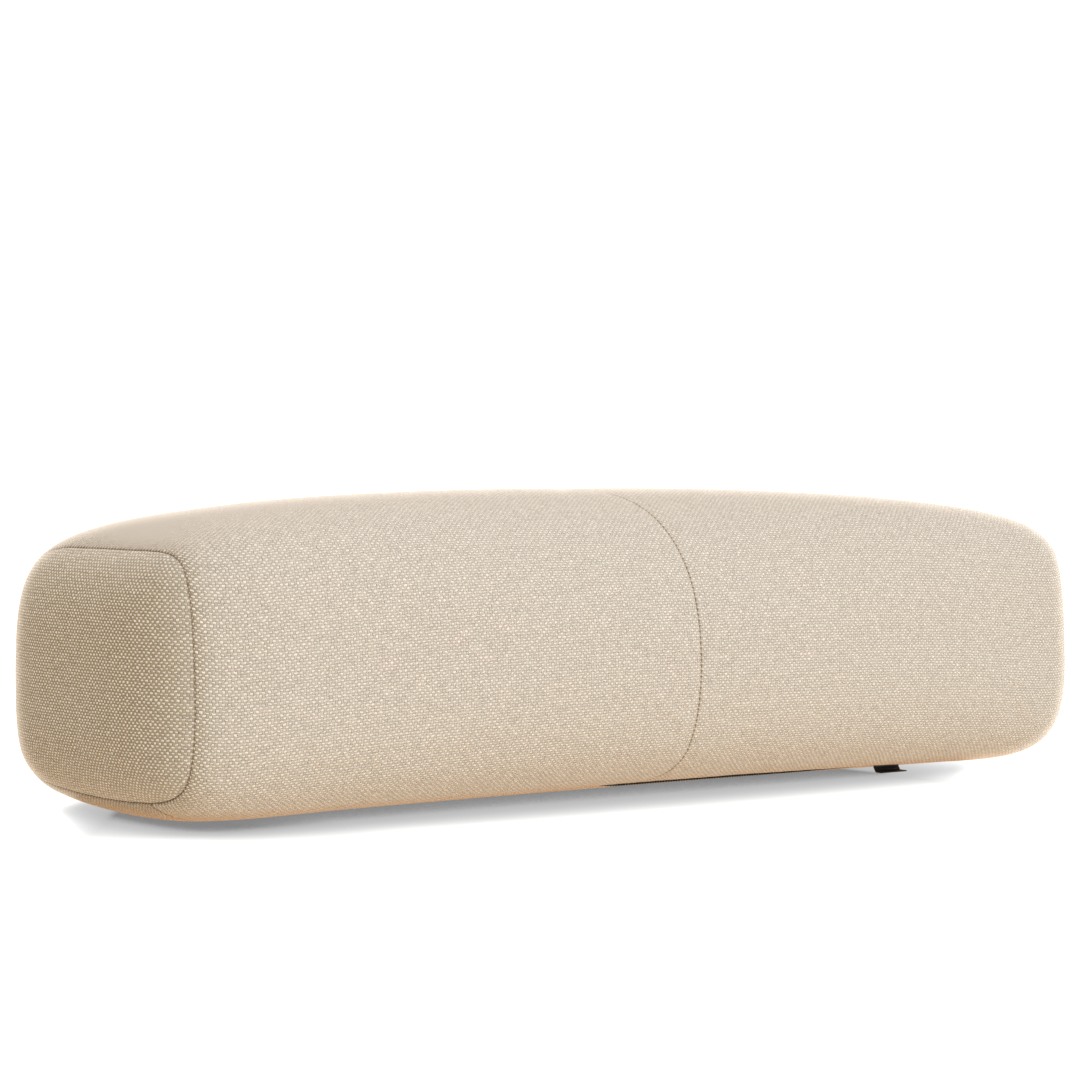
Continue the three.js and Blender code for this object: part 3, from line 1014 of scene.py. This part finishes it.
# %% [markdown]
# ## The studio's light
# The photo has hardly any shadow on the cloth: it was taken in front of white, with light from all round.
# Softboxes could be copied as area lamps, but their number and places don't show. The world itself is the
# light here. It is warm, grows cooler to the right and above and darker low on the left, and is orange
# from below, where the cloth and the floor throw their light at each other. A broad lamp stands in front,
# a little to the left, and a weaker, cooler one to the right, which lights the far end.

# %% Light the studio
FROM_ALL_ROUND = (0.445, 0.45, 0.41)  # linear light, to which each side adds its own
FROM_THE_RIGHT = (0.70, 0.66, 0.72)
FROM_BEHIND = (0.42, 0.25, 0.01)
FROM_ABOVE = (-0.05, 0.01, 0.22)
FROM_BELOW = (1.14, 0.74, 0.42)
BELOW = (-0.6, -0.95)  # from a low to a steep way down
LOW_ON_THE_LEFT = (-0.38, -0.38, -0.38)
BACKDROP = 1.1  # what the camera sees behind the cushion: plain white


def make_world():
    """Soft light from all round, with a colour that changes with its direction."""
    world = bpy.data.worlds.new("studio")
    world.use_nodes = True
    tree = world.node_tree
    tree.nodes.clear()
    direction = add(tree, "TexCoord")
    split = add(tree, "SeparateXYZ", {0: direction.outputs["Generated"]})
    light = add(tree, "RGB")
    light.outputs[0].default_value = (*FROM_ALL_ROUND, 1)
    for axis, colour in enumerate((FROM_THE_RIGHT, FROM_BEHIND, FROM_ABOVE)):
        share = add(tree, "Math", {0: split.outputs[axis], 1: 0.5, 2: 0.5}, operation="MULTIPLY_ADD")
        light = add(tree, "VectorMath", {0: colour, 1: share, 2: light}, operation="MULTIPLY_ADD")
    below = add(tree, "MapRange", {0: split.outputs[2], 1: BELOW[0], 2: BELOW[1]},
                interpolation_type="SMOOTHSTEP")
    light = add(tree, "Mix", {0: below, 6: light, 7: (*FROM_BELOW, 1)}, data_type="RGBA")
    left = add(tree, "Math", {0: split.outputs[0], 1: 0.0}, operation="MINIMUM")
    low = add(tree, "Math", {0: split.outputs[2], 1: 0.0}, operation="MINIMUM")
    low_left = add(tree, "Math", {0: left, 1: low}, operation="MULTIPLY")
    light = add(tree, "VectorMath", {0: LOW_ON_THE_LEFT, 1: low_left, 2: light.outputs[2]},
                operation="MULTIPLY_ADD")
    seen = add(tree, "LightPath").outputs["Is Camera Ray"]
    backdrop = add(tree, "Mix", {0: seen, 6: light, 7: (BACKDROP,) * 3 + (1,)}, data_type="RGBA")
    shader = add(tree, "Background", {0: backdrop.outputs[2]})
    add(tree, "OutputWorld", {0: shader})
    bpy.context.scene.world = world


def make_lamp(name, azimuth, height, energy, spread, colour=(1.0, 1.0, 1.0)):
    """A broad, far lamp at an azimuth from the front, to the right, and at a height, both in degrees."""
    turn, up = math.radians(azimuth), math.radians(height)
    data = bpy.data.lights.new(name, "SUN")
    data.energy, data.angle, data.color = energy, math.radians(spread), colour
    lamp = bpy.data.objects.new(name, data)
    shines = Vector((-math.sin(turn) * math.cos(up), math.cos(turn) * math.cos(up), -math.sin(up)))
    lamp.rotation_euler = shines.to_track_quat("-Z", "Y").to_euler()
    bpy.context.collection.objects.link(lamp)


make_world()
make_lamp("key", azimuth=-25, height=20, energy=1.2, spread=20)
make_lamp("far_end", azimuth=95, height=0, energy=0.74, spread=30, colour=(0.5, 0.82, 1.0))
print("lamps:", [lamp.name for lamp in bpy.data.lights])

# %% [markdown]
# ## The floor
# Nothing of the real floor shows but a soft grey shadow close to the cushion: it is as white as the
# backdrop. A floor of white paint under such light would turn grey or coloured further out, so this one
# is a sheet of opal acrylic, lit from within: an even white that takes no colour from the cloth. Its
# shadow is painted into that glow: how much of the space above a point is closed off sets it, and so does
# the place. The painted shadow is wider in front of the left end, stops behind it, and fades at the right
# end.

# %% Lay the floor
FLOOR_SIZE = 60
FLOOR_HEIGHT = -0.4 * MM  # so that the cushion's flat underside doesn't lie in the floor itself
OVERHEAD = 0.25  # how far above the floor something still shades it, in metres
FLOOR_LIGHT = 1.02
# How open the space above is, and how light the floor then looks
SHADOW = (
    (0.0, 0.23), (0.06, 0.48), (0.16, 0.53), (0.28, 0.59),
    (0.42, 0.71), (0.52, 0.85), (0.60, 0.95), (0.68, 1.0),
)
# Which way, from where to where in metres, and by how much the floor then counts as more open
SHADOW_CHANGES = (
    ((1, 0, 0), (-0.30, -0.45), -0.12),  # wider at the left end
    ((0.8, -0.6, 0), (-0.355, -0.44), 0.6),  # but not behind it
    ((1, 0, 0), (0.27, 0.40), 0.6),  # gone at the right end
)


def make_floor():
    """Opal acrylic, lit from within: an even white, with a painted shadow where the cushion closes off the
    space above.
    """
    bpy.ops.mesh.primitive_plane_add(size=FLOOR_SIZE, location=(0, 0, FLOOR_HEIGHT))
    floor = bpy.context.object
    floor.name = "floor"
    material, tree = new_material("lit_acrylic")
    above = add(tree, "AmbientOcclusion", {"Distance": OVERHEAD}, samples=16)
    place = add(tree, "NewGeometry").outputs["Position"]
    openness = above.outputs["AO"]
    for way, (first, last), change in SHADOW_CHANGES:
        far = add(tree, "VectorMath", {0: place, 1: way}, operation="DOT_PRODUCT")
        shift = add(tree, "MapRange", {0: far.outputs["Value"], 1: first, 2: last, 4: change})
        openness = add(tree, "Math", {0: openness, 1: shift}, operation="ADD", use_clamp=True)
    ramp = add(tree, "ValToRGB", {0: openness})
    for at, _ in SHADOW[1:-1]:
        ramp.color_ramp.elements.new(at)
    for element, (at, tone) in zip(ramp.color_ramp.elements, SHADOW):
        element.position, element.color = at, (tone, tone, tone, 1)
    shader = add(tree, "Emission", {"Color": ramp, "Strength": FLOOR_LIGHT})
    add(tree, "OutputMaterial", {0: shader})
    floor.data.materials.append(material)
    floor.visible_diffuse = floor.visible_shadow = floor.visible_glossy = False
    return floor


floor = make_floor()
print("the shadow's darkest tone:", min(tone for _, tone in SHADOW))

# %% [markdown]
# ## The picture
# The photo keeps its light tones as they are, so the picture is developed plainly, without a film look.
# The lens spreads the overexposed backdrop a few pixels into the cushion's outline, warmed by the wool's
# loose fibres. Those could be grown as hair, but at this distance they only show as a glow, so the
# compositor spreads the white and adds a little of it.

# %% Let the white backdrop glow
GLOW_FROM = 0.965  # light above this counts as backdrop
GLOW_STEEPNESS = 40.0  # and in full when it is a fortieth higher
GLOW_SIZE = 14  # pixels
GLOW = (0.80, 0.70, 0.60)  # warm, as it comes through the cloth's fibres


def make_glow():
    """Adds the backdrop's white, blurred and warmed, to the picture."""
    scene = bpy.context.scene
    scene.use_nodes = True
    tree = scene.node_tree
    tree.nodes.clear()
    seen = add(tree, "RLayers")
    over = add(tree, "MixRGB", {1: seen.outputs["Image"], 2: (*(GLOW_FROM,) * 3, 1)},
               blend_type="SUBTRACT", use_clamp=True)
    white = add(tree, "MixRGB", {1: over, 2: (*(GLOW_STEEPNESS,) * 3, 1)},
                blend_type="MULTIPLY", use_clamp=True)
    spread = add(tree, "Blur", {"Image": white}, filter_type="GAUSS", size_x=GLOW_SIZE, size_y=GLOW_SIZE)
    weak = add(tree, "MixRGB", {1: spread, 2: (*GLOW, 1)}, blend_type="MULTIPLY")
    sum_of_both = add(tree, "MixRGB", {1: seen.outputs["Image"], 2: weak}, blend_type="ADD")
    add(tree, "Composite", {"Image": sum_of_both})


make_glow()
view = bpy.context.scene.view_settings
view.view_transform, view.look, view.exposure = "Standard", "None", 0.0
print("view transform:", view.view_transform)

# %% [markdown]
# ## The pieces and the frame
# Last, each piece is hung on the root, and the solid of the fixed frame that it stands for is hidden.
# Nothing moves, so all ride on the root. The cloth is padded by its filling; the tape and the label are
# sheets.

for piece in pieces:
    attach(piece, "root")
    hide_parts("cushion")

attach(zip_chain, "root")
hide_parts("zip")
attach(zip_tape, "root")
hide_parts("zip")
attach(label_tab, "root")
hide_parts("label")
